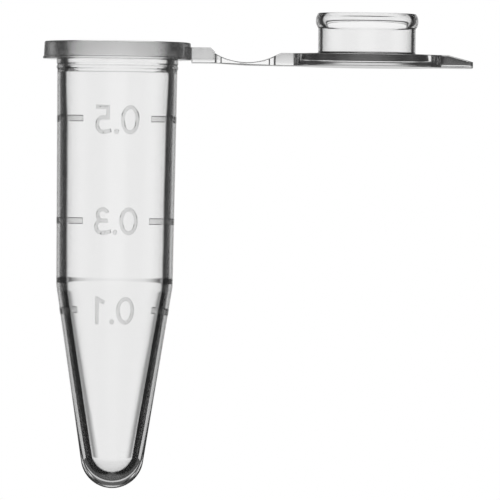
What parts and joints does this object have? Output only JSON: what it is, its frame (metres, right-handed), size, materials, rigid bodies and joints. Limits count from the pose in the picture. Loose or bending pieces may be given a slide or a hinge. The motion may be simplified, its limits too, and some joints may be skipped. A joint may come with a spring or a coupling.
{
  "type": "microcentrifuge tube",
  "caption": "Small clear plastic laboratory tube with a conical round-ended base, a rimmed mouth, moulded volume marks and a plug cap held on by a flexible strap.",
  "frame": {"origin": "centre of the rim's underside plane, where the rim rests on a rack, on the tube's axis", "axes": "+Z along the tube's axis out of the mouth, +X from the tube's axis towards the open cap, +Y towards the side that carries the numerals"},
  "size_m": [0.0279, 0.0096, 0.0311],
  "materials": {
    "clear_polypropylene": "clear, glossy, slightly hazy moulded polypropylene",
    "frosted_polypropylene": "clear polypropylene with a finely etched, frosted surface"
  },
  "bodies": {
    "root": {"tube_barrel": "clear_polypropylene", "tube_cone": "clear_polypropylene", "tube_tip": "clear_polypropylene", "rim_flange": "clear_polypropylene", "neck_ring_upper": "clear_polypropylene", "neck_ring_lower": "clear_polypropylene", "tick_0_5_left": "frosted_polypropylene", "tick_0_5_right": "frosted_polypropylene", "tick_0_3_left": "frosted_polypropylene", "tick_0_3_right": "frosted_polypropylene", "tick_0_1_left": "frosted_polypropylene", "tick_0_1_right": "frosted_polypropylene", "numeral_0_5": "frosted_polypropylene", "numeral_0_3": "frosted_polypropylene", "numeral_0_1": "frosted_polypropylene", "hinge_root": "clear_polypropylene"},
    "web": {"hinge_web": "clear_polypropylene"},
    "cap": {"hinge_cap_block": "clear_polypropylene", "cap_plate": "clear_polypropylene", "cap_tab": "clear_polypropylene", "cap_plug": "clear_polypropylene", "plug_bead": "clear_polypropylene", "plug_base": "clear_polypropylene"}
  },
  "joints": [
    {"name": "rim_fold", "type": "hinge", "parent": "root", "child": "web", "pos_m": [0.0072, 0, 0.00009], "axis": [0, -1, 0], "range_deg": [0, 90], "stiffness_Nm_per_rad": 0.0004},
    {"name": "cap_fold", "type": "hinge", "parent": "web", "child": "cap", "pos_m": [0.00885, 0, -0.00006], "axis": [0, -1, 0], "range_deg": [0, 90], "stiffness_Nm_per_rad": 0.0004}
  ],
  "couplings": [
    {"joint": "cap_fold", "follows": "rim_fold", "ratio": 1}
  ]
}
